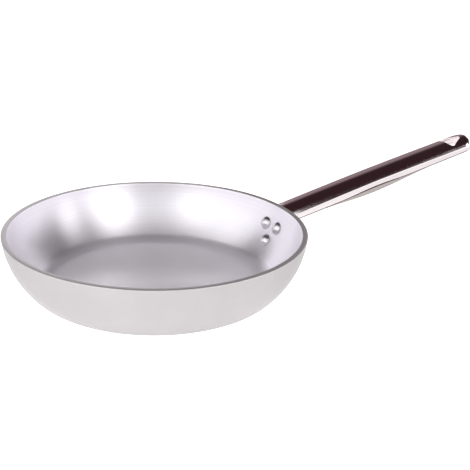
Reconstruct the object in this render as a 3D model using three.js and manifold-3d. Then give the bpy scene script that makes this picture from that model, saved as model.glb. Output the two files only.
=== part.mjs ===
// Frying pan of thick bare aluminium with a sheet-steel handle held by three rivets.
// Millimetres, +Z up. The origin is the centre of the base's underside, and the handle runs along +X.

import * as THREE from 'three';
import { mergeVertices } from 'three/addons/utils/BufferGeometryUtils.js';
import Module from 'manifold-3d';

const wasm = await Module();
wasm.setup();

// Pan body
const rimDiameter = 280;
const wallFlare = 40; // how far the rim stands out past the flat base
const panHeight = 57;
const wallThickness = 5;
const kneeRadius = 23; // outside bend from the base into the wall
const rimLean = 5.2; // degrees that the wall still flares at the rim

// Rivets: two above and one below, set square to the wall
const upperRivetDrop = 20; // from the rim, on the inside of the wall
const lowerRivetDrop = 34.2;
const upperRivetSpread = 18.3; // between the two upper rivets
const rivetShankDiameter = 5.5;
const rivetHeadDiameter = 12.6;
const rivetHeadHeight = 3.2;
const rivetTailDiameter = 9;
const rivetTailHeight = 1.8;

// Handle: a channel of bent sheet, open underneath
const sheetThickness = 2;
const handleLength = 247.5; // from the rim circle to the tip, along the handle
const handleWidth = 30;
const handleTilt = 9.9; // degrees above level
const handleBelowRim = 2.3; // from the rim down to the line of the handle's crown
const flangeDepth = 12.4; // from the crown down to the edge of the flange
const edgeTurnIn = 0.5; // how far the flange's edge is rolled in past the sheet
const crownRadius = 40; // across the top
const crownArch = 0.7; // along the top
const shoulderRadius = 6; // in the grip
const endShoulderRadius = 8.4; // at the root and at the tip
const crownMargin = 1.5; // crown kept between the shoulders where they close at the tip
const tipRadius = 11.5; // corners of the tip, seen from above
const tipEdgeRadius = 2.5; // from the crown into the end of the tip

// Grip: the middle of the handle, where the flanges hang deeper and are tucked in under a crease
const gripCentre = 110; // from the rim circle, along the handle
const gripLength = 156;
const gripDrop = 5.3; // below the plain flange
const gripTuck = 3; // drawn in at the lower edge of each flange
const gripLip = 3; // turned in flat at the bottom
const creaseLength = 98;
const creaseRise = 1.2; // crease above the plain flange's edge
const creaseMargin = 0.8; // crease above the edge outside the grip

// Hanging hole: a round-cornered triangle that points to the tip
const hangHoleSetback = 30; // from its straight side to the tip
const hangHoleLength = 21;
const hangHoleWidth = 22;
const hangHoleRadius = 3.5;

// Riveting plate: a shield at the handle's root that lies on the wall
const plateMargin = 8; // from each rivet's centre to the plate's edge
const plateHalfAngle = 24; // degrees of the ring that the shield is cut from, each way

// Fits
const seatGap = 0.3; // between pieces that lie on each other
const headGap = 0.6; // under a flat rivet head on the hollow side of the wall
const rivetClearance = 0.3; // around each shank
const cutOver = 3; // how far a cutter runs past what it cuts

// Facets
const panSegments = 72;
const rivetSegments = 24;
const kneeSteps = 5;
const wallSteps = 7;
const crownSteps = 3;
const shoulderSteps = 4;
const roundSteps = 6;
const gripStations = 14;
const tipStations = 5;

const rad = THREE.MathUtils.degToRad;
const yAxis = new THREE.Vector3(0, 1, 0);
const aluminium = { color: 0xdedcdd, roughness: 0.42, metalness: 1 };
const stainless = { color: 0xc9c2c0, roughness: 0.16, metalness: 1 };
const rivetAluminium = { color: 0xd8d6d8, roughness: 0.3, metalness: 1 };

// The wall's outside is two arcs that meet in a tangent: the knee, and a wide arc up to the rim.
// Angles are measured down from level, seen from each arc's centre.
const rimRadius = rimDiameter / 2;
const baseRadius = rimRadius - wallFlare;
const lean = rad(rimLean);
const rise = panHeight - kneeRadius;
const wallRadius = (wallFlare ** 2 + rise ** 2 - kneeRadius ** 2)
  / (2 * (Math.cos(lean) * wallFlare - Math.sin(lean) * rise - kneeRadius));
const kneeCentre = new THREE.Vector2(baseRadius, kneeRadius);
const wallCentre = new THREE.Vector2(
  rimRadius - wallRadius * Math.cos(lean),
  panHeight + wallRadius * Math.sin(lean),
);
const kneeEnd = Math.atan2(wallCentre.y - kneeCentre.y, kneeCentre.x - wallCentre.x);

function arcPoint(centre, radius, down) {
  return new THREE.Vector2(centre.x + radius * Math.cos(down), centre.y - radius * Math.sin(down));
}

function arcPoints(centre, radius, from, to, steps) {
  return Array.from({ length: steps + 1 }, (_, i) => arcPoint(centre, radius, from + (to - from) * i / steps));
}

// Where an arc around the wall's centre reaches a height
function angleAtHeight(radius, height) {
  return Math.asin((wallCentre.y - height) / radius);
}

// Solids

function toSolid(geometry) {
  const bare = geometry.clone();
  bare.deleteAttribute('normal');
  bare.deleteAttribute('uv');
  const merged = mergeVertices(bare, 1e-4);
  const index = merged.index.array;
  const triVerts = [];
  for (let i = 0; i < index.length; i += 3) {
    const [a, b, c] = [index[i], index[i + 1], index[i + 2]];
    if (a !== b && b !== c && c !== a) triVerts.push(a, b, c);
  }
  return new wasm.Manifold(new wasm.Mesh({
    numProp: 3,
    vertProperties: new Float32Array(merged.attributes.position.array),
    triVerts: new Uint32Array(triVerts),
  }));
}

function toGeometry(solid) {
  const { vertProperties, triVerts } = solid.getMesh();
  const geometry = new THREE.BufferGeometry();
  geometry.setAttribute('position', new THREE.BufferAttribute(vertProperties, 3));
  geometry.setIndex(new THREE.BufferAttribute(triVerts, 1));
  geometry.computeVertexNormals();
  return geometry;
}

// A profile of radius and height, turned around the Z axis
function turned(profile, segments) {
  return new THREE.LatheGeometry(profile, segments).rotateX(Math.PI / 2);
}

// Rivets: each has a point on the inside of the wall and an axis that leaves the wall square to it

function rivetSeat(height, sideways) {
  const radius = wallRadius - wallThickness;
  const down = angleAtHeight(radius, height);
  const inside = arcPoint(wallCentre, radius, down);
  const around = Math.asin(sideways / inside.x);
  return {
    point: new THREE.Vector3(inside.x * Math.cos(around), sideways, inside.y),
    axis: new THREE.Vector3(
      Math.cos(down) * Math.cos(around),
      Math.cos(down) * Math.sin(around),
      -Math.sin(down),
    ),
  };
}

const rivetSeats = {
  rivet_upper_left: rivetSeat(panHeight - upperRivetDrop, upperRivetSpread / 2),
  rivet_upper_right: rivetSeat(panHeight - upperRivetDrop, -upperRivetSpread / 2),
  rivet_lower: rivetSeat(panHeight - lowerRivetDrop, 0),
};
const gripped = wallThickness + seatGap + sheetThickness; // wall and plate, under the rivet

function placeOnSeat(object, seat, along) {
  object.position.copy(seat.point).addScaledVector(seat.axis, along);
  object.quaternion.setFromUnitVectors(yAxis, seat.axis);
  return object;
}

function rivetHole(seat) {
  const radius = rivetShankDiameter / 2 + rivetClearance;
  const length = gripped + 2 * cutOver;
  const drill = new THREE.Mesh(new THREE.CylinderGeometry(radius, radius, length, rivetSegments));
  placeOnSeat(drill, seat, gripped / 2).updateMatrix();
  return toSolid(drill.geometry.applyMatrix4(drill.matrix));
}

function drilled(solid) {
  return Object.values(rivetSeats).reduce((rest, seat) => rest.subtract(rivetHole(seat)), solid);
}

// Height of a low dome, from its rim at the full radius to its top
function domePoints(diameter, height, from, outward) {
  const radius = (diameter ** 2 / 4 + height ** 2) / (2 * height);
  const spread = Math.asin(diameter / 2 / radius);
  return Array.from({ length: roundSteps + 1 }, (_, i) => {
    const angle = spread * (1 - i / roundSteps);
    const x = i === roundSteps ? 0 : radius * Math.sin(angle);
    return new THREE.Vector2(x, from + outward * (height - radius * (1 - Math.cos(angle))));
  });
}

function rivetGeometry() {
  const shank = rivetShankDiameter / 2;
  const headSeat = -headGap;
  const tailSeat = gripped + seatGap;
  const head = domePoints(rivetHeadDiameter, rivetHeadHeight, headSeat, -1).reverse();
  const tail = domePoints(rivetTailDiameter, rivetTailHeight, tailSeat, 1);
  const profile = [
    ...head,
    new THREE.Vector2(shank, headSeat),
    new THREE.Vector2(shank, tailSeat),
    ...tail,
  ];
  return new THREE.LatheGeometry(profile, rivetSegments);
}

// Pan body

function panProfile() {
  const innerWall = wallRadius - wallThickness;
  const innerRim = angleAtHeight(innerWall, panHeight);
  return [
    new THREE.Vector2(0, 0),
    ...arcPoints(kneeCentre, kneeRadius, Math.PI / 2, kneeEnd, kneeSteps),
    ...arcPoints(wallCentre, wallRadius, kneeEnd, lean, wallSteps).slice(1),
    ...arcPoints(wallCentre, innerWall, innerRim, kneeEnd, wallSteps),
    ...arcPoints(kneeCentre, kneeRadius - wallThickness, kneeEnd, Math.PI / 2, kneeSteps).slice(1),
    new THREE.Vector2(0, wallThickness),
  ];
}

function panBodyGeometry() {
  return toGeometry(drilled(toSolid(turned(panProfile(), panSegments))));
}

// Handle, in its own frame: x along the crown from the rim circle, y across, z up from the crown

const halfWidth = handleWidth / 2;

// How far x lies into a stretch with rounded ends: 1 in its middle, 0 at its ends and beyond
function bulge(x, centre, length) {
  const part = Math.min(1, Math.abs(x - centre) / (length / 2));
  return Math.cos(part * Math.PI / 2) ** 2;
}

// Drop of a rounded edge that starts a radius before its end
function roundOff(past, radius) {
  return past <= 0 ? 0 : radius - Math.sqrt(Math.max(0, radius ** 2 - past ** 2));
}

function crownHeight(x, inset) {
  const arch = crownArch * (1 - ((2 * x - handleLength) / handleLength) ** 2);
  const tip = roundOff(x - (handleLength - tipEdgeRadius), tipEdgeRadius - inset);
  return arch - tip - inset;
}

function sideReach(x, inset) {
  return halfWidth - inset - roundOff(x - (handleLength - tipRadius), tipRadius - inset);
}

// The shoulders get rounder from the middle of the grip towards both ends
function shoulderAt(x) {
  const away = Math.min(1, Math.abs(x - gripCentre) / gripCentre);
  return shoulderRadius + (endShoulderRadius - shoulderRadius) * away;
}

// Right half of the channel's section, from the crown down to the edge of the flange.
// With an inset it is the channel's inside, which runs out through the slot underneath.
function halfSection(x, inset) {
  const side = sideReach(x, inset);
  const crown = crownHeight(x, inset);
  const shoulder = Math.min(shoulderAt(x) - inset, side - crownMargin);
  const across = crownRadius - inset;
  const turn = Math.asin((side - shoulder) / (across - shoulder));
  const centreHeight = crown - across;
  const points = [];
  for (let i = 0; i <= crownSteps; i += 1) {
    const angle = turn * i / crownSteps;
    points.push([across * Math.sin(angle), centreHeight + across * Math.cos(angle)]);
  }
  const shoulderHeight = centreHeight + (across - shoulder) * Math.cos(turn);
  for (let i = 1; i <= shoulderSteps; i += 1) {
    const angle = turn + (Math.PI / 2 - turn) * i / shoulderSteps;
    points.push([side - shoulder + shoulder * Math.sin(angle), shoulderHeight + shoulder * Math.cos(angle)]);
  }
  const grip = bulge(x, gripCentre, gripLength);
  const edge = -flangeDepth - gripDrop * grip;
  const crease = -flangeDepth + creaseMargin + creaseRise * bulge(x, gripCentre, creaseLength);
  const foot = side - gripTuck * grip;
  const lip = foot + inset - sheetThickness - edgeTurnIn - gripLip * grip;
  points.push([side, crease + inset], [foot, edge + inset], [lip, edge + inset]);
  if (inset > 0) points.push([lip, edge - cutOver]);
  return points;
}

function stations(inset) {
  const gripStart = gripCentre - gripLength / 2;
  const list = [-halfWidth, 0, gripStart / 2];
  for (let i = 0; i <= gripStations; i += 1) list.push(gripStart + gripLength * i / gripStations);
  const cornerStart = handleLength - tipRadius;
  list.push((gripStart + gripLength + cornerStart) / 2);
  for (let i = 0; i <= tipStations; i += 1) {
    list.push(cornerStart + (tipRadius - inset) * Math.sin(Math.PI / 2 * i / tipStations));
  }
  return list;
}

// A closed solid through the section at each station, with its two ends filled straight across
function lofted(inset) {
  const halves = stations(inset).map((x) => halfSection(x, inset).map(([y, z]) => [x, y, z]));
  const points = halves[0].length;
  const count = 2 * points - 1;
  const rings = halves.map((half) => [...half, ...half.slice(1).reverse().map(([x, y, z]) => [x, -y, z])]);
  const index = [];
  for (let ring = 0; ring + 1 < rings.length; ring += 1) {
    for (let i = 0; i < count; i += 1) {
      const a = ring * count + i;
      const b = ring * count + (i + 1) % count;
      index.push(a, a + count, b + count, a, b + count, b);
    }
  }
  const last = (rings.length - 1) * count;
  for (let right = 0; right + 1 < points; right += 1) {
    const left = (count - right) % count;
    const below = count - right - 1;
    index.push(right, right + 1, below, last + right, last + below, last + right + 1);
    if (left !== right) index.push(right, below, left, last + right, last + left, last + below);
  }
  const geometry = new THREE.BufferGeometry();
  geometry.setAttribute('position', new THREE.Float32BufferAttribute(rings.flat(2), 3));
  geometry.setIndex(index);
  return geometry;
}

// A round-cornered triangle, pushed through the crown
function hangHole() {
  const base = handleLength - hangHoleSetback + hangHoleRadius;
  const point = base + hangHoleLength - 2 * hangHoleRadius;
  const corner = hangHoleWidth / 2 - hangHoleRadius;
  const sideTurn = Math.atan2(point - base, corner);
  const outline = new THREE.Shape();
  outline.absarc(base, corner, hangHoleRadius, Math.PI, sideTurn, true);
  outline.absarc(point, 0, hangHoleRadius, sideTurn, -sideTurn, true);
  outline.absarc(base, -corner, hangHoleRadius, -sideTurn, -Math.PI, true);
  const depth = flangeDepth - shoulderRadius + cutOver;
  const cutter = new THREE.ExtrudeGeometry(outline, { depth, bevelEnabled: false, curveSegments: roundSteps });
  return toSolid(cutter.translate(0, 0, cutOver - depth));
}

const handlePlace = new THREE.Matrix4()
  .makeTranslation(rimRadius, 0, panHeight - handleBelowRim)
  .multiply(new THREE.Matrix4().makeRotationY(-rad(handleTilt)));

function placed(solid) {
  return toSolid(toGeometry(solid).applyMatrix4(handlePlace));
}

// Everything inside the pan's outer wall, with the seat gap added
function wallEnvelope() {
  const outside = wallRadius + seatGap;
  const top = panHeight + cutOver;
  const profile = [
    new THREE.Vector2(0, kneeCentre.y - kneeRadius),
    ...arcPoints(wallCentre, outside, kneeEnd, lean, wallSteps),
    new THREE.Vector2(arcPoint(wallCentre, outside, lean).x, top),
    new THREE.Vector2(0, top),
  ];
  return toSolid(turned(profile, panSegments));
}

// Shield outline around the rivets, seen along the handle, up to the crown's sheet
function plateOutline() {
  const upper = rivetSeats.rivet_upper_left;
  const lower = rivetSeats.rivet_lower;
  const middle = wallThickness + seatGap + sheetThickness / 2;
  const at = (seat) => seat.point.clone().addScaledVector(seat.axis, middle);
  const [high, low] = [at(upper), at(lower)];
  const turn = Math.atan2(high.y, high.z - low.z);
  const crownAtWall = panHeight - handleBelowRim + crownHeight(0, sheetThickness / 2);
  const outline = new THREE.Shape();
  outline.moveTo(halfWidth - endShoulderRadius, crownAtWall);
  outline.lineTo(-halfWidth + endShoulderRadius, crownAtWall);
  outline.absarc(-high.y, high.z, plateMargin, Math.PI, Math.PI + turn, false);
  outline.absarc(0, low.z, plateMargin, Math.PI + turn, 2 * Math.PI - turn, false);
  outline.absarc(high.y, high.z, plateMargin, -turn, 0, false);
  outline.closePath();
  return outline;
}

// The plate's blank reaches to the wall itself, and the seat gap is cut from it with the channel's end
function rivetPlate() {
  const outside = wallRadius + seatGap + sheetThickness;
  const band = [
    ...arcPoints(wallCentre, outside, kneeEnd, lean, wallSteps),
    ...arcPoints(wallCentre, wallRadius, lean, kneeEnd, wallSteps),
  ];
  band.push(band[0].clone());
  const reach = arcPoint(wallCentre, outside, lean).x + cutOver;
  const depth = reach * (1 - Math.cos(rad(plateHalfAngle))) + wallFlare;
  const cutter = new THREE.ExtrudeGeometry(plateOutline(), {
    depth,
    bevelEnabled: false,
    curveSegments: 2 * roundSteps,
  });
  const alongX = new THREE.Matrix4().makeBasis(
    new THREE.Vector3(0, 1, 0),
    new THREE.Vector3(0, 0, 1),
    new THREE.Vector3(1, 0, 0),
  );
  cutter.applyMatrix4(alongX).translate(reach - depth, 0, 0);
  return toSolid(turned(band, panSegments)).intersect(toSolid(cutter));
}

function handleGeometry() {
  const channel = toSolid(lofted(0)).subtract(toSolid(lofted(sheetThickness))).subtract(hangHole());
  const seated = placed(channel).add(rivetPlate()).subtract(wallEnvelope());
  return toGeometry(drilled(seated));
}

// The pan

function piece(name, geometry, finish) {
  const mesh = new THREE.Mesh(geometry, new THREE.MeshStandardMaterial(finish));
  mesh.name = name;
  return mesh;
}

const fryingPan = new THREE.Group();
fryingPan.name = 'frying_pan';
fryingPan.add(piece('pan_body', panBodyGeometry(), aluminium));
fryingPan.add(piece('handle', handleGeometry(), stainless));
for (const [name, seat] of Object.entries(rivetSeats)) {
  fryingPan.add(placeOnSeat(piece(name, rivetGeometry(), rivetAluminium), seat, 0));
}

export default fryingPan;
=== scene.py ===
"""Frying pan: a turned dish of bare aluminium, a bent sheet-steel handle and three rivets."""
from math import asin, atan2, cos, hypot, pi, radians, sin, sqrt, tau

import bmesh
import bpy
from mathutils import Matrix, Vector


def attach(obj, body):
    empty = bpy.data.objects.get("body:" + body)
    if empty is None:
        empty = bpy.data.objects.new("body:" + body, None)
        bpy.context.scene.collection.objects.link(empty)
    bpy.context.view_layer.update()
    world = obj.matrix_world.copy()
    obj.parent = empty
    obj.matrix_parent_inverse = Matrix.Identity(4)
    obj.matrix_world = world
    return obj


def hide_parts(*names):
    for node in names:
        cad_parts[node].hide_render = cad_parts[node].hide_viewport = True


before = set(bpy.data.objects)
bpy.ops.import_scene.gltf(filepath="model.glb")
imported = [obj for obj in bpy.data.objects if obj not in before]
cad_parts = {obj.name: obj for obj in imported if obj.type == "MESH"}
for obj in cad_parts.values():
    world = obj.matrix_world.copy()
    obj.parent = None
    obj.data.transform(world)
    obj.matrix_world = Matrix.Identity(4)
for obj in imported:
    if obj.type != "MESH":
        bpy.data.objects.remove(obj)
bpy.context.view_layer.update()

scene = bpy.context.scene
MM = 0.001

# Pan body, the same values as the CAD
RIM_RADIUS = 140 * MM
BASE_RADIUS = 100 * MM
PAN_HEIGHT = 57 * MM
WALL = 5 * MM
KNEE_RADIUS = 23 * MM
RIM_LEAN = radians(5.2)
RIM_ROUND = 0.45 * MM

# Rivets
UPPER_RIVET_HEIGHT = 37 * MM
LOWER_RIVET_HEIGHT = 22.8 * MM
UPPER_RIVET_SPREAD = 18.3 * MM
SHANK_DIAMETER = 5.5 * MM
HEAD_DIAMETER = 12.6 * MM
HEAD_HEIGHT = 3.2 * MM
TAIL_DIAMETER = 9 * MM
TAIL_HEIGHT = 1.8 * MM

# Handle
SHEET = 2 * MM
HANDLE_LENGTH = 247.5 * MM
HALF_WIDTH = 15 * MM
HANDLE_TILT = radians(9.9)
HANDLE_BELOW_RIM = 2.3 * MM
FLANGE_DEPTH = 12.4 * MM
EDGE_TURN_IN = 0.5 * MM
CROWN_RADIUS = 40 * MM
CROWN_ARCH = 0.7 * MM
SHOULDER_RADIUS = 6 * MM  # in the grip
END_SHOULDER_RADIUS = 8.4 * MM  # at the root and at the tip
TIP_RADIUS = 11.5 * MM
TIP_EDGE_RADIUS = 2.5 * MM
CROWN_MARGIN = 1.5 * MM
GRIP_CENTRE = 110 * MM
GRIP_LENGTH = 156 * MM
GRIP_DROP = 5.3 * MM
GRIP_TUCK = 3 * MM
GRIP_LIP = 3 * MM
CREASE_LENGTH = 98 * MM
CREASE_RISE = 1.2 * MM
CREASE_MARGIN = 0.8 * MM
BEAD = 0.45 * MM  # fine ledge that runs along the crease
GRIP_BEAD = 0.45 * MM  # how much further it stands out in the grip
EDGE_ROUND = 0.5 * MM
HOLE_SETBACK = 30 * MM
HOLE_LENGTH = 21 * MM
HOLE_WIDTH = 22 * MM
HOLE_RADIUS = 3.5 * MM
PLATE_MARGIN = 8 * MM
PLATE_HALF_ANGLE = radians(24)

# Fits
SEAT_GAP = 0.3 * MM
HEAD_GAP = 0.6 * MM
RIVET_CLEARANCE = 0.3 * MM
CUT_OVER = 3 * MM

# Facets
PAN_SEGMENTS = 224
KNEE_STEPS = 18
WALL_STEPS = 26
FLOOR_CUTS = 11
CROWN_STEPS = 14
SHOULDER_STEPS = 10
RIVET_SEGMENTS = 48
DOME_STEPS = 10
HANDLE_STATIONS = 110
TIP_STATIONS = 28
SHARP = radians(34)

# The wall's outside is two arcs that meet in a tangent. Angles are measured down from level.
FLARE = RIM_RADIUS - BASE_RADIUS
RISE = PAN_HEIGHT - KNEE_RADIUS
WALL_RADIUS = (FLARE ** 2 + RISE ** 2 - KNEE_RADIUS ** 2) / (
    2 * (cos(RIM_LEAN) * FLARE - sin(RIM_LEAN) * RISE - KNEE_RADIUS)
)
KNEE_CENTRE = Vector((BASE_RADIUS, 0, KNEE_RADIUS))
WALL_CENTRE = Vector((
    RIM_RADIUS - WALL_RADIUS * cos(RIM_LEAN), 0, PAN_HEIGHT + WALL_RADIUS * sin(RIM_LEAN)
))
KNEE_END = atan2(WALL_CENTRE.z - KNEE_CENTRE.z, KNEE_CENTRE.x - WALL_CENTRE.x)
INNER_WALL = WALL_RADIUS - WALL
GRIPPED = WALL + SEAT_GAP + SHEET  # wall and plate, under a rivet


def hex_colour(code):
    """An sRGB hex value as linear RGBA."""
    channels = [int(code[i:i + 2], 16) / 255 for i in (0, 2, 4)]
    return (*(c / 12.92 if c <= 0.04045 else ((c + 0.055) / 1.055) ** 2.4 for c in channels), 1)


def node(tree, kind, inputs=None, **settings):
    """Adds a shader node with its settings, and sets or links its inputs."""
    made = tree.nodes.new("ShaderNode" + kind)
    for name, value in settings.items():
        setattr(made, name, value)
    for name, value in (inputs or {}).items():
        if isinstance(value, bpy.types.NodeSocket):
            tree.links.new(value, made.inputs[name])
        else:
            made.inputs[name].default_value = value
    return made


def material(name):
    made = bpy.data.materials.new(name)
    made.use_nodes = True
    made.node_tree.nodes.clear()
    return made, made.node_tree


# Materials

def turned_aluminium():
    """Bare aluminium turned on a lathe: fine rings draw every light out into a fan, and the floor is duller."""
    made, tree = material("turned_aluminium")
    ring_pitch = 1.6 * MM  # the real marks are about 0.3 mm apart, too fine to show
    band_width = 14 * MM
    floor_roughness = 0.07  # what the floor's coarser feed adds
    floor_dullness = 0.4
    ring = node(tree, "UVMap", uv_map="ring")
    along = node(tree, "SeparateXYZ", {0: ring.outputs["UV"]})
    marks = node(tree, "TexNoise", {
        "W": node(tree, "Math", {0: along.outputs["Y"], 1: 1 / ring_pitch}, operation="MULTIPLY").outputs[0],
        "Scale": 1, "Detail": 3, "Roughness": 0.7,
    }, noise_dimensions="1D")
    bands = node(tree, "TexNoise", {
        "W": node(tree, "Math", {0: along.outputs["Y"], 1: 1 / band_width}, operation="MULTIPLY").outputs[0],
        "Scale": 1, "Detail": 1,
    }, noise_dimensions="1D")
    tone = node(tree, "ValToRGB", {"Fac": marks.outputs["Fac"]})
    tone.color_ramp.elements[0].position = 0.3
    tone.color_ramp.elements[0].color = hex_colour("e6e3e9")
    tone.color_ramp.elements[1].position = 0.7
    tone.color_ramp.elements[1].color = hex_colour("ece9ef")
    rough = node(tree, "MapRange", {
        "Value": bands.outputs["Fac"], "From Min": 0.3, "From Max": 0.7, "To Min": 0.36, "To Max": 0.39,
    })
    coarser_floor = node(tree, "MapRange", {
        "Value": along.outputs["Y"], "From Min": 0.94 * BASE_RADIUS, "From Max": BASE_RADIUS,
        "To Min": 1, "To Max": 0,
    }).outputs["Result"]
    roughness = node(tree, "Math", {
        0: coarser_floor, 1: floor_roughness, 2: rough.outputs["Result"],
    }, operation="MULTIPLY_ADD")
    metallic = node(tree, "Math", {0: coarser_floor, 1: -floor_dullness, 2: 0.84}, operation="MULTIPLY_ADD")
    drawn_out = node(tree, "MapRange", {
        "Value": along.outputs["Y"], "From Min": 0.05 * BASE_RADIUS, "From Max": 0.5 * BASE_RADIUS,
        "To Min": 0.2, "To Max": 0.75,
    })
    bump = node(tree, "Bump", {"Height": marks.outputs["Fac"], "Strength": 0.03, "Distance": 0.05 * MM})
    tangent = node(tree, "Tangent", direction_type="UV_MAP", uv_map="ring")
    surface = node(tree, "BsdfPrincipled", {
        "Base Color": tone.outputs["Color"], "Metallic": metallic.outputs[0], "Roughness": roughness.outputs[0],
        "Anisotropic": drawn_out.outputs["Result"], "Anisotropic Rotation": 0.25,
        "Normal": bump.outputs["Normal"], "Tangent": tangent.outputs["Tangent"],
    })
    node(tree, "OutputMaterial", {"Surface": surface.outputs[0]})
    return made


def satin_aluminium():
    """Bare aluminium with an even satin skin outside: pale, soft, with a faint grain and almost no rings."""
    made, tree = material("satin_aluminium")
    grain_size = 1.4 * MM  # the real grain is finer than a pixel
    cloud_size = 45 * MM
    place = node(tree, "TexCoord")
    grain = node(tree, "TexNoise", {
        "Vector": place.outputs["Object"], "Scale": 1 / grain_size, "Detail": 2, "Roughness": 0.6,
    })
    cloud = node(tree, "TexNoise", {"Vector": place.outputs["Object"], "Scale": 1 / cloud_size, "Detail": 2})
    tone = node(tree, "ValToRGB", {"Fac": cloud.outputs["Fac"]})
    tone.color_ramp.elements[0].position = 0.3
    tone.color_ramp.elements[0].color = hex_colour("bfbcbd")
    tone.color_ramp.elements[1].position = 0.7
    tone.color_ramp.elements[1].color = hex_colour("c5c2c3")
    rough = node(tree, "MapRange", {
        "Value": grain.outputs["Fac"], "From Min": 0.3, "From Max": 0.7, "To Min": 0.5, "To Max": 0.58,
    })
    bump = node(tree, "Bump", {"Height": grain.outputs["Fac"], "Strength": 0.1, "Distance": 0.04 * MM})
    surface = node(tree, "BsdfPrincipled", {
        "Base Color": tone.outputs["Color"], "Metallic": 1, "Roughness": rough.outputs["Result"],
        "Normal": bump.outputs["Normal"],
    })
    node(tree, "OutputMaterial", {"Surface": surface.outputs[0]})
    return made


def faced_aluminium_painted_dark():
    """Aluminium faced off on the lathe: the rim's flat top is smoother and shinier than the walls. Its darker grey
    is painted reflection, standing in for the dark room that the flat top mirrors.
    """
    made, tree = material("faced_aluminium_painted_dark")
    mark_width = 0.8 * MM
    ring = node(tree, "UVMap", uv_map="ring")
    along = node(tree, "SeparateXYZ", {0: ring.outputs["UV"]})
    marks = node(tree, "TexNoise", {
        "W": node(tree, "Math", {0: along.outputs["Y"], 1: 1 / mark_width}, operation="MULTIPLY").outputs[0],
        "Scale": 1, "Detail": 2,
    }, noise_dimensions="1D")
    # Darker grey than the walls: a painted reflection of the dark surroundings that the rim's top mirrors.
    tone = node(tree, "ValToRGB", {"Fac": marks.outputs["Fac"]})
    tone.color_ramp.elements[0].position = 0.3
    tone.color_ramp.elements[0].color = hex_colour("a9a6a9")
    tone.color_ramp.elements[1].position = 0.7
    tone.color_ramp.elements[1].color = hex_colour("b5b2b5")
    rough = node(tree, "MapRange", {
        "Value": marks.outputs["Fac"], "From Min": 0.3, "From Max": 0.7, "To Min": 0.38, "To Max": 0.46,
    })
    tangent = node(tree, "Tangent", direction_type="UV_MAP", uv_map="ring")
    surface = node(tree, "BsdfPrincipled", {
        "Base Color": tone.outputs["Color"], "Metallic": 0.7, "Roughness": rough.outputs["Result"],
        "Anisotropic": 0.3, "Anisotropic Rotation": 0.25, "Tangent": tangent.outputs["Tangent"],
    })
    node(tree, "OutputMaterial", {"Surface": surface.outputs[0]})
    return made


def polished_stainless():
    """Stainless sheet, polished along its length: clear reflections, slightly drawn out by hairlines."""
    made, tree = material("polished_stainless")
    hair_length = 60 * MM
    hair_width = 0.9 * MM  # real polishing hairlines are far finer
    smear_size = 22 * MM
    place = node(tree, "TexCoord")
    along = node(tree, "Mapping", {
        "Vector": place.outputs["Object"], "Rotation": (0, HANDLE_TILT, 0),
        "Scale": (1 / hair_length, 1 / hair_width, 1 / hair_width),
    })
    hairs = node(tree, "TexNoise", {"Vector": along.outputs[0], "Scale": 1, "Detail": 2})
    smears = node(tree, "TexNoise", {"Vector": place.outputs["Object"], "Scale": 1 / smear_size, "Detail": 3})
    tone = node(tree, "ValToRGB", {"Fac": smears.outputs["Fac"]})
    tone.color_ramp.elements[0].position = 0.3
    tone.color_ramp.elements[0].color = hex_colour("f0e8ea")
    tone.color_ramp.elements[1].position = 0.7
    tone.color_ramp.elements[1].color = hex_colour("f6eef0")
    rough = node(tree, "MapRange", {
        "Value": hairs.outputs["Fac"], "From Min": 0.3, "From Max": 0.7, "To Min": 0.09, "To Max": 0.13,
    })
    bump = node(tree, "Bump", {"Height": hairs.outputs["Fac"], "Strength": 0.04, "Distance": 0.02 * MM})
    surface = node(tree, "BsdfPrincipled", {
        "Base Color": tone.outputs["Color"], "Metallic": 1, "Roughness": rough.outputs["Result"],
        "Normal": bump.outputs["Normal"],
    })
    node(tree, "OutputMaterial", {"Surface": surface.outputs[0]})
    return made


def lip_stainless_painted_shade():
    """The sheet's own mill finish, left on the lip that is rolled in under the grip: duller from its real
    roughness, and darker and warmer in colour, which is painted shade standing in for the shadowed floor under the
    handle that the lip mirrors.
    """
    made, tree = material("lip_stainless_painted_shade")
    streak_length = 40 * MM
    streak_width = 0.8 * MM
    place = node(tree, "TexCoord")
    along = node(tree, "Mapping", {
        "Vector": place.outputs["Object"], "Rotation": (0, HANDLE_TILT, 0),
        "Scale": (1 / streak_length, 1 / streak_width, 1 / streak_width),
    })
    streaks = node(tree, "TexNoise", {"Vector": along.outputs[0], "Scale": 1, "Detail": 2})
    # The darker, warmer colour is painted shade: the shadowed floor under the handle, as the lip would mirror it.
    tone = node(tree, "ValToRGB", {"Fac": streaks.outputs["Fac"]})
    tone.color_ramp.elements[0].position = 0.3
    tone.color_ramp.elements[0].color = hex_colour("aaa29f")
    tone.color_ramp.elements[1].position = 0.7
    tone.color_ramp.elements[1].color = hex_colour("b9b1ae")
    rough = node(tree, "MapRange", {
        "Value": streaks.outputs["Fac"], "From Min": 0.3, "From Max": 0.7, "To Min": 0.34, "To Max": 0.42,
    })
    surface = node(tree, "BsdfPrincipled", {
        "Base Color": tone.outputs["Color"], "Metallic": 1, "Roughness": rough.outputs["Result"],
    })
    node(tree, "OutputMaterial", {"Surface": surface.outputs[0]})
    return made


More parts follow.
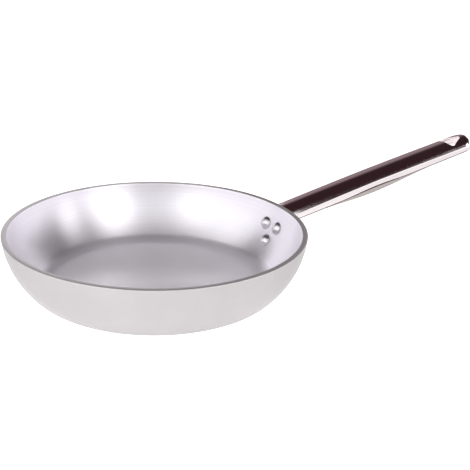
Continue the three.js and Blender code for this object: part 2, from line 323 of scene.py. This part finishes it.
def pressed_aluminium():
    """Soft aluminium upset in a die: bright low domes with faint pits and dents."""
    made, tree = material("pressed_aluminium")
    dent_size = 1.8 * MM
    place = node(tree, "TexCoord")
    dents = node(tree, "TexNoise", {"Vector": place.outputs["Object"], "Scale": 1 / dent_size, "Detail": 2})
    tone = node(tree, "ValToRGB", {"Fac": dents.outputs["Fac"]})
    tone.color_ramp.elements[0].position = 0.3
    tone.color_ramp.elements[0].color = hex_colour("c8c6c9")
    tone.color_ramp.elements[1].position = 0.7
    tone.color_ramp.elements[1].color = hex_colour("d8d6da")
    rough = node(tree, "MapRange", {
        "Value": dents.outputs["Fac"], "From Min": 0.3, "From Max": 0.7, "To Min": 0.28, "To Max": 0.36,
    })
    bump = node(tree, "Bump", {"Height": dents.outputs["Fac"], "Strength": 0.2, "Distance": 0.1 * MM})
    surface = node(tree, "BsdfPrincipled", {
        "Base Color": tone.outputs["Color"], "Metallic": 1, "Roughness": rough.outputs["Result"],
        "Normal": bump.outputs["Normal"],
    })
    node(tree, "OutputMaterial", {"Surface": surface.outputs[0]})
    return made


# Mesh making

def extend(bm, vert, x, z):
    """Draws a profile on by a straight line."""
    end = bmesh.ops.extrude_vert_indiv(bm, verts=[vert])["verts"][0]
    end.co = (x, 0, z)
    return end


def swing(bm, vert, centre, angle, steps):
    """Draws a profile on by an arc; a positive angle turns downwards from +X."""
    swept = bmesh.ops.spin(bm, geom=[vert], cent=centre, axis=(0, 1, 0), angle=angle, steps=steps)
    return next(g for g in swept["geom_last"] if isinstance(g, bmesh.types.BMVert))


def turn_round(bm, segments):
    """Turns a finished profile round the Z axis into a closed body."""
    bmesh.ops.spin(
        bm, geom=bm.verts[:] + bm.edges[:], cent=(0, 0, 0), axis=(0, 0, 1),
        angle=tau, steps=segments, use_merge=True,
    )
    bmesh.ops.remove_doubles(bm, verts=bm.verts[:], dist=0.001 * MM)
    bmesh.ops.recalc_face_normals(bm, faces=bm.faces[:])


def loft(rings):
    """A closed body through rings of points, filled straight across at both ends."""
    bm = bmesh.new()
    loops = []
    for ring in rings:
        verts = bmesh.ops.create_circle(bm, segments=len(ring), radius=MM)["verts"]
        for vert, point in zip(verts, ring):
            vert.co = point
        loops.append(list({edge for vert in verts for edge in vert.link_edges}))
    for first, second in zip(loops, loops[1:]):
        bmesh.ops.bridge_loops(bm, edges=first + second)
    for end in (loops[0], loops[-1]):
        bmesh.ops.edgeloop_fill(bm, edges=end)
    bmesh.ops.recalc_face_normals(bm, faces=bm.faces[:])
    return bm


def new_object(name, bm):
    mesh = bpy.data.meshes.new(name)
    bm.to_mesh(mesh)
    bm.free()
    made = bpy.data.objects.new(name, mesh)
    scene.collection.objects.link(made)
    return made


def combine(piece, tool, operation):
    """Cuts, joins or intersects a piece with a tool, and removes the tool."""
    step = piece.modifiers.new(operation.lower(), "BOOLEAN")
    step.object = tool
    step.operation = operation
    step.solver = "MANIFOLD"
    solid = piece.evaluated_get(bpy.context.evaluated_depsgraph_get())
    mesh = bpy.data.meshes.new_from_object(solid)
    piece.modifiers.clear()
    piece.data = mesh
    bpy.data.objects.remove(tool)


def finish_piece(piece, node_name, materials):
    """Gives a piece its finishes, smooth faces with sharp edges, and its place in the frame."""
    piece.data.materials.clear()
    for made in materials:
        piece.data.materials.append(made)
    piece.data.shade_smooth()
    piece.data.set_sharp_from_angle(angle=SHARP)
    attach(piece, "root")
    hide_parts(node_name)


def arc_point(centre, radius, down):
    return Vector((centre.x + radius * cos(down), 0, centre.z - radius * sin(down)))


# Pan body

def pan_bmesh():
    """The dish: its profile drawn from the base's middle over the rim to the floor's middle, then turned."""
    bm = bmesh.new()
    inner_rim = asin((WALL_CENTRE.z - PAN_HEIGHT) / INNER_WALL)
    at_rim = arc_point(WALL_CENTRE, INNER_WALL, inner_rim)
    base_middle = bm.verts.new((0, 0, 0))
    base_edge = extend(bm, base_middle, BASE_RADIUS, 0)
    knee_top = swing(bm, base_edge, KNEE_CENTRE, KNEE_END - pi / 2, KNEE_STEPS)
    outer_rim = swing(bm, knee_top, WALL_CENTRE, RIM_LEAN - KNEE_END, WALL_STEPS)
    inner_edge = extend(bm, outer_rim, at_rim.x, at_rim.z)
    inner_knee = swing(bm, inner_edge, WALL_CENTRE, KNEE_END - inner_rim, WALL_STEPS)
    floor_edge = swing(bm, inner_knee, KNEE_CENTRE, pi / 2 - KNEE_END, KNEE_STEPS)
    extend(bm, floor_edge, 0, WALL)
    flats = [e for e in bm.edges if e.calc_length() > BASE_RADIUS / 2]
    bmesh.ops.subdivide_edges(bm, edges=flats, cuts=FLOOR_CUTS)
    turn_round(bm, PAN_SEGMENTS)
    rim_edges = [
        e for e in bm.edges
        if all(abs(v.co.z - PAN_HEIGHT) < 0.01 * MM for v in e.verts)
        and abs(hypot(*e.verts[0].co.xy) - hypot(*e.verts[1].co.xy)) < WALL / 2
    ]
    bmesh.ops.bevel(
        bm, geom=rim_edges, offset=RIM_ROUND, offset_type="OFFSET", segments=3,
        profile=0.5, affect="EDGES", material=-1,
    )
    return bm


def profile_length(point):
    """Length along the inside of the profile, from the axis; the outside takes the same measure."""
    radius = hypot(point.x, point.y)
    if radius < BASE_RADIUS:
        return radius
    return BASE_RADIUS + hypot(radius - BASE_RADIUS, point.z)


def map_rings(bm):
    """UV map with U round the axis and V along the profile, in metres."""
    layer = bm.loops.layers.uv.new("ring")
    for face in bm.faces:
        middle = face.calc_center_median()
        facing = atan2(middle.y, middle.x)
        for corner in face.loops:
            point = corner.vert.co
            turn = 0
            if hypot(point.x, point.y) > 0.01 * MM:
                turn = (atan2(point.y, point.x) - facing + pi) % tau - pi
            corner[layer].uv = ((facing + turn) / tau, profile_length(point))


OUTSIDE, INSIDE, RIM = range(3)


def sort_faces(bm):
    """Gives each face of the dish its finish: outside, inside or rim."""
    for face in bm.faces:
        middle = face.calc_center_median()
        inward = Vector((-middle.x, -middle.y, 0)).normalized() + Vector((0, 0, 1))
        face.material_index = INSIDE if face.normal.dot(inward) > 0 else OUTSIDE
        if middle.z > PAN_HEIGHT - 0.6 * RIM_ROUND and face.normal.z > 0.3:
            face.material_index = RIM


# Rivets

def rivet_seat(height, sideways):
    """Point on the inside of the wall, and the direction that leaves the wall square to it."""
    down = asin((WALL_CENTRE.z - height) / INNER_WALL)
    inside = arc_point(WALL_CENTRE, INNER_WALL, down)
    around = asin(sideways / inside.x)
    point = Vector((inside.x * cos(around), sideways, inside.z))
    axis = Vector((cos(down) * cos(around), cos(down) * sin(around), -sin(down)))
    return point, axis


SEATS = {
    "rivet_upper_left": rivet_seat(UPPER_RIVET_HEIGHT, UPPER_RIVET_SPREAD / 2),
    "rivet_upper_right": rivet_seat(UPPER_RIVET_HEIGHT, -UPPER_RIVET_SPREAD / 2),
    "rivet_lower": rivet_seat(LOWER_RIVET_HEIGHT, 0),
}


def on_seat(seat, along=0.0):
    """Takes the Z axis to a rivet's axis."""
    point, axis = seat
    return Matrix.Translation(point + axis * along) @ axis.to_track_quat("Z", "Y").to_matrix().to_4x4()


def dome_radius(diameter, height):
    return (diameter ** 2 / 4 + height ** 2) / (2 * height)


def rivet_bmesh(seat):
    """One rivet: a low dome inside the pan, a shank, and an upset tail outside."""
    bm = bmesh.new()
    shank = SHANK_DIAMETER / 2
    head_seat = -HEAD_GAP
    tail_seat = GRIPPED + SEAT_GAP
    head_round = dome_radius(HEAD_DIAMETER, HEAD_HEIGHT)
    tail_round = dome_radius(TAIL_DIAMETER, TAIL_HEIGHT)
    head_turn = asin(HEAD_DIAMETER / 2 / head_round)
    tail_turn = asin(TAIL_DIAMETER / 2 / tail_round)
    top = bm.verts.new((0, 0, head_seat - HEAD_HEIGHT))
    head_centre = Vector((0, 0, head_seat - HEAD_HEIGHT + head_round))
    head_edge = swing(bm, top, head_centre, -head_turn, DOME_STEPS)
    under_head = extend(bm, head_edge, shank, head_seat)
    over_tail = extend(bm, under_head, shank, tail_seat)
    tail_edge = extend(bm, over_tail, TAIL_DIAMETER / 2, tail_seat)
    tail_centre = Vector((0, 0, tail_seat + TAIL_HEIGHT - tail_round))
    swing(bm, tail_edge, tail_centre, -tail_turn, DOME_STEPS)
    turn_round(bm, RIVET_SEGMENTS)
    bmesh.ops.transform(bm, matrix=on_seat(seat), verts=bm.verts[:])
    return bm


def drill(seat):
    """Cutter for a rivet's hole through wall and plate."""
    bm = bmesh.new()
    radius = SHANK_DIAMETER / 2 + RIVET_CLEARANCE
    bmesh.ops.create_cone(
        bm, cap_ends=True, segments=RIVET_SEGMENTS, radius1=radius, radius2=radius,
        depth=GRIPPED + 2 * CUT_OVER, matrix=on_seat(seat, GRIPPED / 2),
    )
    return new_object("drill", bm)


# Handle, in its own frame: x along the crown from the rim circle, y across, z up from the crown

HANDLE_PLACE = Matrix.Translation((RIM_RADIUS, 0, PAN_HEIGHT - HANDLE_BELOW_RIM)) @ Matrix.Rotation(
    -HANDLE_TILT, 4, "Y"
)


def bulge(x, centre, length):
    """1 in the middle of a stretch, running out to 0 at its ends."""
    return cos(min(1, abs(x - centre) / (length / 2)) * pi / 2) ** 2


def round_off(past, radius):
    """Drop of a rounded edge that starts a radius before its end."""
    return 0 if past <= 0 else radius - sqrt(max(0, radius ** 2 - past ** 2))


def crown_height(x, inset):
    """Height of the crown: a long low arch, rounded off at the tip."""
    arch = CROWN_ARCH * (1 - ((2 * x - HANDLE_LENGTH) / HANDLE_LENGTH) ** 2)
    tip = round_off(x - (HANDLE_LENGTH - TIP_EDGE_RADIUS), TIP_EDGE_RADIUS - inset)
    return arch - tip - inset


def shoulder_radius(x):
    """Rounder from the middle of the grip towards both ends."""
    away = min(1, abs(x - GRIP_CENTRE) / GRIP_CENTRE)
    return SHOULDER_RADIUS + (END_SHOULDER_RADIUS - SHOULDER_RADIUS) * away


def crease_height(x):
    """Height of the crease, which rises a little in the grip."""
    return -FLANGE_DEPTH + CREASE_MARGIN + CREASE_RISE * bulge(x, GRIP_CENTRE, CREASE_LENGTH)


def half_section(x, inset):
    """One side of the channel, from the crown to the lip; with an inset, its inside and the slot below."""
    side = HALF_WIDTH - inset - round_off(x - (HANDLE_LENGTH - TIP_RADIUS), TIP_RADIUS - inset)
    shoulder = min(shoulder_radius(x) - inset, side - CROWN_MARGIN)
    across = CROWN_RADIUS - inset
    turn = asin((side - shoulder) / (across - shoulder))
    centre = crown_height(x, inset) - across
    points = []
    for i in range(CROWN_STEPS + 1):
        angle = turn * i / CROWN_STEPS
        points.append((across * sin(angle), centre + across * cos(angle)))
    shoulder_height = centre + (across - shoulder) * cos(turn)
    for i in range(1, SHOULDER_STEPS + 1):
        angle = turn + (pi / 2 - turn) * i / SHOULDER_STEPS
        points.append((side - shoulder + shoulder * sin(angle), shoulder_height + shoulder * cos(angle)))
    grip = bulge(x, GRIP_CENTRE, GRIP_LENGTH)
    creased = bulge(x, GRIP_CENTRE, CREASE_LENGTH)
    edge = -FLANGE_DEPTH - GRIP_DROP * grip
    crease = crease_height(x)
    foot = side - GRIP_TUCK * grip
    lip = foot + inset - SHEET - EDGE_TURN_IN - GRIP_LIP * grip
    if inset:
        return points + [(side, crease + inset), (foot, edge + inset), (lip, edge + inset), (lip, edge - CUT_OVER)]
    bead = BEAD + GRIP_BEAD * creased
    return points + [
        (side, crease + bead),
        (side + 0.7 * bead, crease + 0.7 * bead),
        (side + bead, crease),
        (foot + 0.1 * EDGE_ROUND, edge + EDGE_ROUND),
        (foot - 0.3 * EDGE_ROUND, edge + 0.3 * EDGE_ROUND),
        (foot - EDGE_ROUND, edge),
        (lip, edge),
    ]


def channel(inset):
    """The handle's channel as a closed body, or with an inset what is taken out of it."""
    corner = HANDLE_LENGTH - TIP_RADIUS
    root = -HALF_WIDTH
    stations = [root + (corner - root) * i / HANDLE_STATIONS for i in range(HANDLE_STATIONS)]
    stations += [
        corner + (TIP_RADIUS - inset) * sin(pi / 2 * i / TIP_STATIONS) for i in range(TIP_STATIONS + 1)
    ]
    rings = []
    for x in stations:
        right = half_section(x, inset)
        left = [(-y, z) for y, z in reversed(right[1:])]
        rings.append([(x, y, z) for y, z in right + left])
    return loft(rings)


def hulled(bm):
    """Stretches a closed skin round everything drawn so far."""
    bmesh.ops.convex_hull(bm, input=bm.verts[:], use_existing_faces=False)
    bmesh.ops.delete(bm, geom=[e for e in bm.edges if not e.link_faces], context="EDGES")
    bmesh.ops.delete(bm, geom=[v for v in bm.verts if not v.link_faces], context="VERTS")
    bmesh.ops.recalc_face_normals(bm, faces=bm.faces[:])
    return bm


def hang_hole():
    """Cutter for the round-cornered triangle that points to the tip."""
    base = HANDLE_LENGTH - HOLE_SETBACK + HOLE_RADIUS
    point = base + HOLE_LENGTH - 2 * HOLE_RADIUS
    corner = HOLE_WIDTH / 2 - HOLE_RADIUS
    bm = bmesh.new()
    for x, y in ((base, corner), (point, 0), (base, -corner)):
        for z in (CUT_OVER, SHOULDER_RADIUS - FLANGE_DEPTH):
            bmesh.ops.create_circle(
                bm, segments=RIVET_SEGMENTS, radius=HOLE_RADIUS, matrix=Matrix.Translation((x, y, z)),
            )
    return new_object("hang_hole_cutter", hulled(bm))


def wall_envelope():
    """Everything inside the pan's outer wall, with the seat gap added."""
    bm = bmesh.new()
    outside = WALL_RADIUS + SEAT_GAP
    low = arc_point(WALL_CENTRE, outside, KNEE_END)
    top = PAN_HEIGHT + CUT_OVER
    start = extend(bm, bm.verts.new((0, 0, 0)), low.x, low.z)
    rim = swing(bm, start, WALL_CENTRE, RIM_LEAN - KNEE_END, WALL_STEPS)
    extend(bm, extend(bm, rim, rim.co.x, top), 0, top)
    turn_round(bm, PAN_SEGMENTS)
    return new_object("wall_envelope", bm)


def rivet_plate():
    """Shield round the three rivets, cut from a ring that lies on the wall."""
    ring = bmesh.new()
    outside = WALL_RADIUS + SEAT_GAP + SHEET
    low = arc_point(WALL_CENTRE, outside, KNEE_END)
    start = ring.verts.new(low)
    high = swing(ring, start, WALL_CENTRE, RIM_LEAN - KNEE_END, WALL_STEPS)
    inner_high = arc_point(WALL_CENTRE, WALL_RADIUS, RIM_LEAN)
    inner = extend(ring, high, inner_high.x, inner_high.z)
    last = swing(ring, inner, WALL_CENTRE, KNEE_END - RIM_LEAN, WALL_STEPS)
    ring.edges.new((last, start))
    turn_round(ring, PAN_SEGMENTS)
    plate = new_object("rivet_plate", ring)

    middle = WALL + SEAT_GAP + SHEET / 2
    seats = SEATS["rivet_upper_left"], SEATS["rivet_lower"]
    high_seat, low_seat = (point + axis * middle for point, axis in seats)
    crown_at_wall = PAN_HEIGHT - HANDLE_BELOW_RIM + crown_height(0, SHEET / 2)
    reach = arc_point(WALL_CENTRE, outside, RIM_LEAN).x + CUT_OVER
    depth = reach * (1 - cos(PLATE_HALF_ANGLE)) + FLARE
    shield = bmesh.new()
    for x in (reach - depth, reach):
        for y, z in ((high_seat.y, high_seat.z), (-high_seat.y, high_seat.z), (0, low_seat.z)):
            bmesh.ops.create_circle(
                shield, segments=RIVET_SEGMENTS, radius=PLATE_MARGIN,
                matrix=Matrix.Translation((x, y, z)) @ Matrix.Rotation(pi / 2, 4, "Y"),
            )
        for y in (HALF_WIDTH - END_SHOULDER_RADIUS, END_SHOULDER_RADIUS - HALF_WIDTH):
            shield.verts.new((x, y, crown_at_wall))
    combine(plate, new_object("shield_cutter", hulled(shield)), "INTERSECT")
    return plate


def make_handle():
    """The channel with its hanging hole, joined to the riveting plate and cut to the wall."""
    handle = new_object("bent_sheet_handle", channel(0))
    combine(handle, new_object("channel_inside", channel(SHEET)), "DIFFERENCE")
    combine(handle, hang_hole(), "DIFFERENCE")
    handle.data.transform(HANDLE_PLACE)
    combine(handle, rivet_plate(), "UNION")
    combine(handle, wall_envelope(), "DIFFERENCE")
    for seat in SEATS.values():
        combine(handle, drill(seat), "DIFFERENCE")
    return handle


# The pan

dish = pan_bmesh()
map_rings(dish)
sort_faces(dish)
pan = new_object("turned_pan_body", dish)
pan_finishes = [satin_aluminium(), turned_aluminium(), faced_aluminium_painted_dark()]
for finish in pan_finishes:
    pan.data.materials.append(finish)
for rivet_place in SEATS.values():
    combine(pan, drill(rivet_place), "DIFFERENCE")
face_finish = [face.material_index for face in pan.data.polygons]
finish_piece(pan, "pan_body", pan_finishes)
for face, index in zip(pan.data.polygons, face_finish):
    face.material_index = min(index, RIM)

steel = make_handle()
finish_piece(steel, "handle", [polished_stainless(), lip_stainless_painted_shade()])
along_crown = HANDLE_PLACE.inverted()
# Faces below the crease in the grip take the lip's stainless, whose darker colour is painted shade.
for face in steel.data.polygons:
    spot = along_crown @ face.center
    in_grip = bulge(spot.x, GRIP_CENTRE, GRIP_LENGTH) > 0
    face.material_index = int(in_grip and spot.z < crease_height(spot.x) - SEAT_GAP)

rivet_metal = pressed_aluminium()
for rivet_name, rivet_place in SEATS.items():
    rivet = new_object("domed_" + rivet_name, rivet_bmesh(rivet_place))
    finish_piece(rivet, rivet_name, [rivet_metal])


# Floor, light and camera

def paper_floor():
    """White paper: seen as white, directly and in the metal, and still dimmed where the pan keeps light off."""
    made, tree = material("white_paper")
    path = node(tree, "LightPath")
    straight = node(tree, "Math", {
        0: path.outputs["Is Camera Ray"], 1: path.outputs["Is Transmission Ray"],
    }, operation="MAXIMUM")
    mirrored = node(tree, "Math", {0: path.outputs["Is Glossy Ray"], 1: 0.62}, operation="MULTIPLY")
    level = node(tree, "Math", {0: straight.outputs[0], 1: mirrored.outputs[0]}, operation="MAXIMUM")
    glow = node(tree, "Emission", {"Color": hex_colour("f6f6f6"), "Strength": level.outputs[0]})
    matte = node(tree, "BsdfDiffuse", {"Color": hex_colour("e6e6e6")})
    both = node(tree, "AddShader", {0: matte.outputs[0], 1: glow.outputs[0]})
    node(tree, "OutputMaterial", {"Surface": both.outputs[0]})
    return made


floor_bmesh = bmesh.new()
bmesh.ops.create_grid(floor_bmesh, x_segments=8, y_segments=8, size=12)
floor = new_object("paper_floor", floor_bmesh)
floor.data.materials.append(paper_floor())

CAMERA_PLACE = Vector((-0.4554, -0.8201, 0.4108))
FORWARD = Vector((0.5156, 0.7789, -0.3571)).normalized()
ROLL = radians(1.65)
FOCAL_LENGTH = 83.26  # in mm, on a sensor 36 mm wide
level_right = FORWARD.cross(Vector((0, 0, 1))).normalized()
level_up = level_right.cross(FORWARD)
camera_right = cos(ROLL) * level_right + sin(ROLL) * level_up
camera_up = camera_right.cross(FORWARD)
camera_data = bpy.data.cameras.new("camera")
camera_data.lens = FOCAL_LENGTH
camera_data.sensor_width = 36
camera_data.clip_start = 0.05
camera = bpy.data.objects.new("camera", camera_data)
camera.matrix_world = Matrix.Translation(CAMERA_PLACE) @ Matrix(
    (camera_right, camera_up, -FORWARD)
).transposed().to_4x4()
scene.collection.objects.link(camera)
scene.camera = camera


def softbox(name, place, faces, width, height, power):
    """A square studio lamp that stands at a place and faces a point."""
    lamp = bpy.data.lights.new(name, "AREA")
    lamp.shape = "RECTANGLE"
    lamp.size = width
    lamp.size_y = height
    lamp.energy = power
    box = bpy.data.objects.new(name, lamp)
    away = Vector(place) - Vector(faces)
    box.matrix_world = Matrix.Translation(place) @ away.to_track_quat("Z", "Y").to_matrix().to_4x4()
    scene.collection.objects.link(box)


softbox("front_softbox", (0.115, -0.479, 0.42), (-0.26, -0.136, 0.42), 0.517, 0.70, 1.7)
softbox("left_softbox", (-0.60, 0.09, 0.50), (0.12, 0.06, 0.50), 1.1, 0.95, 1.65)
softbox("floor_lamp", (-0.34, -0.16, 0.22), (-0.34, -0.16, 0), 0.26, 0.26, 0.40)
softbox("far_panel", (0.19, 0.55, 0.18), (0.19, 0, 0.18), 0.46, 0.30, 0.72)


def studio_world():
    """A studio for shiny metal: pale walls low down, lit panels off the handle's line, a dark ceiling."""
    world = bpy.data.worlds.new("studio")
    world.use_nodes = True
    tree = world.node_tree
    tree.nodes.clear()
    way = node(tree, "TexCoord").outputs["Generated"]
    place = node(tree, "SeparateXYZ", {0: way})
    east, north, height = (place.outputs[axis] for axis in "XYZ")

    def towards(direction):
        return node(tree, "VectorMath", {0: way, 1: direction}, operation="DOT_PRODUCT").outputs["Value"]

    def fade(value, start, end):
        """0 before the start and 1 after the end, with a soft edge between them."""
        return node(tree, "MapRange", {
            "Value": value, "From Min": start, "From Max": end, "To Min": 0, "To Max": 1,
        }, interpolation_type="SMOOTHSTEP").outputs["Result"]

    def blend(amount, first, second):
        return node(tree, "Mix", {0: amount, 6: first, 7: second}, data_type="RGBA").outputs[2]

    def both(first, second):
        return node(tree, "Math", {0: first, 1: second}, operation="MULTIPLY").outputs[0]

    dark = hex_colour("1d1113")
    pale = hex_colour("b1b1b1")
    along_handle = towards((cos(HANDLE_TILT), 0, sin(HANDLE_TILT)))
    before_handle = fade(along_handle, 0.48, 0.38)
    camera_side = fade(towards((-0.7071, -0.7071, 0)), -0.08, 0.18)
    right_box = both(fade(along_handle, 0.645, 0.69), fade(along_handle, 0.88, 0.84))
    right_box = both(both(right_box, fade(north, 0, -0.2)), fade(height, 0.62, 0.50))
    far_box = both(fade(along_handle, 0.70, 0.76), fade(along_handle, 0.92, 0.88))
    far_box = both(both(far_box, fade(north, 0, 0.2)), fade(height, 0.55, 0.45))

    near_wall = blend(fade(height, 0.70, 0.95), pale, dark)
    left_wall = blend(fade(height, 0.26, 0.40), pale, dark)
    beyond_tip = blend(fade(along_handle, 0.70, 0.90), pale, hex_colour("ffffff"))
    right_wall = blend(fade(height, 0.12, 0.26), beyond_tip, dark)
    far_wall = blend(fade(height, 0.36, 0.60), hex_colour("5d5154"), dark)
    room = blend(fade(east, -0.1, 0.1), left_wall, right_wall)
    room = blend(fade(towards((0.5, 0.866, 0)), 0.70, 0.90), room, far_wall)
    room = blend(right_box, room, hex_colour("f0f0f0"))
    room = blend(far_box, room, hex_colour("d8d8d8"))
    light = blend(both(before_handle, camera_side), room, near_wall)
    lit = node(tree, "Background", {"Color": light, "Strength": 2.6})
    seen = node(tree, "Background", {"Color": hex_colour("ffffff"), "Strength": 1})
    shown = node(tree, "MixShader", {
        0: node(tree, "LightPath").outputs["Is Camera Ray"], 1: lit.outputs[0], 2: seen.outputs[0],
    })
    node(tree, "OutputWorld", {"Surface": shown.outputs[0]})
    return world


scene.world = studio_world()
scene.view_settings.view_transform = "Standard"
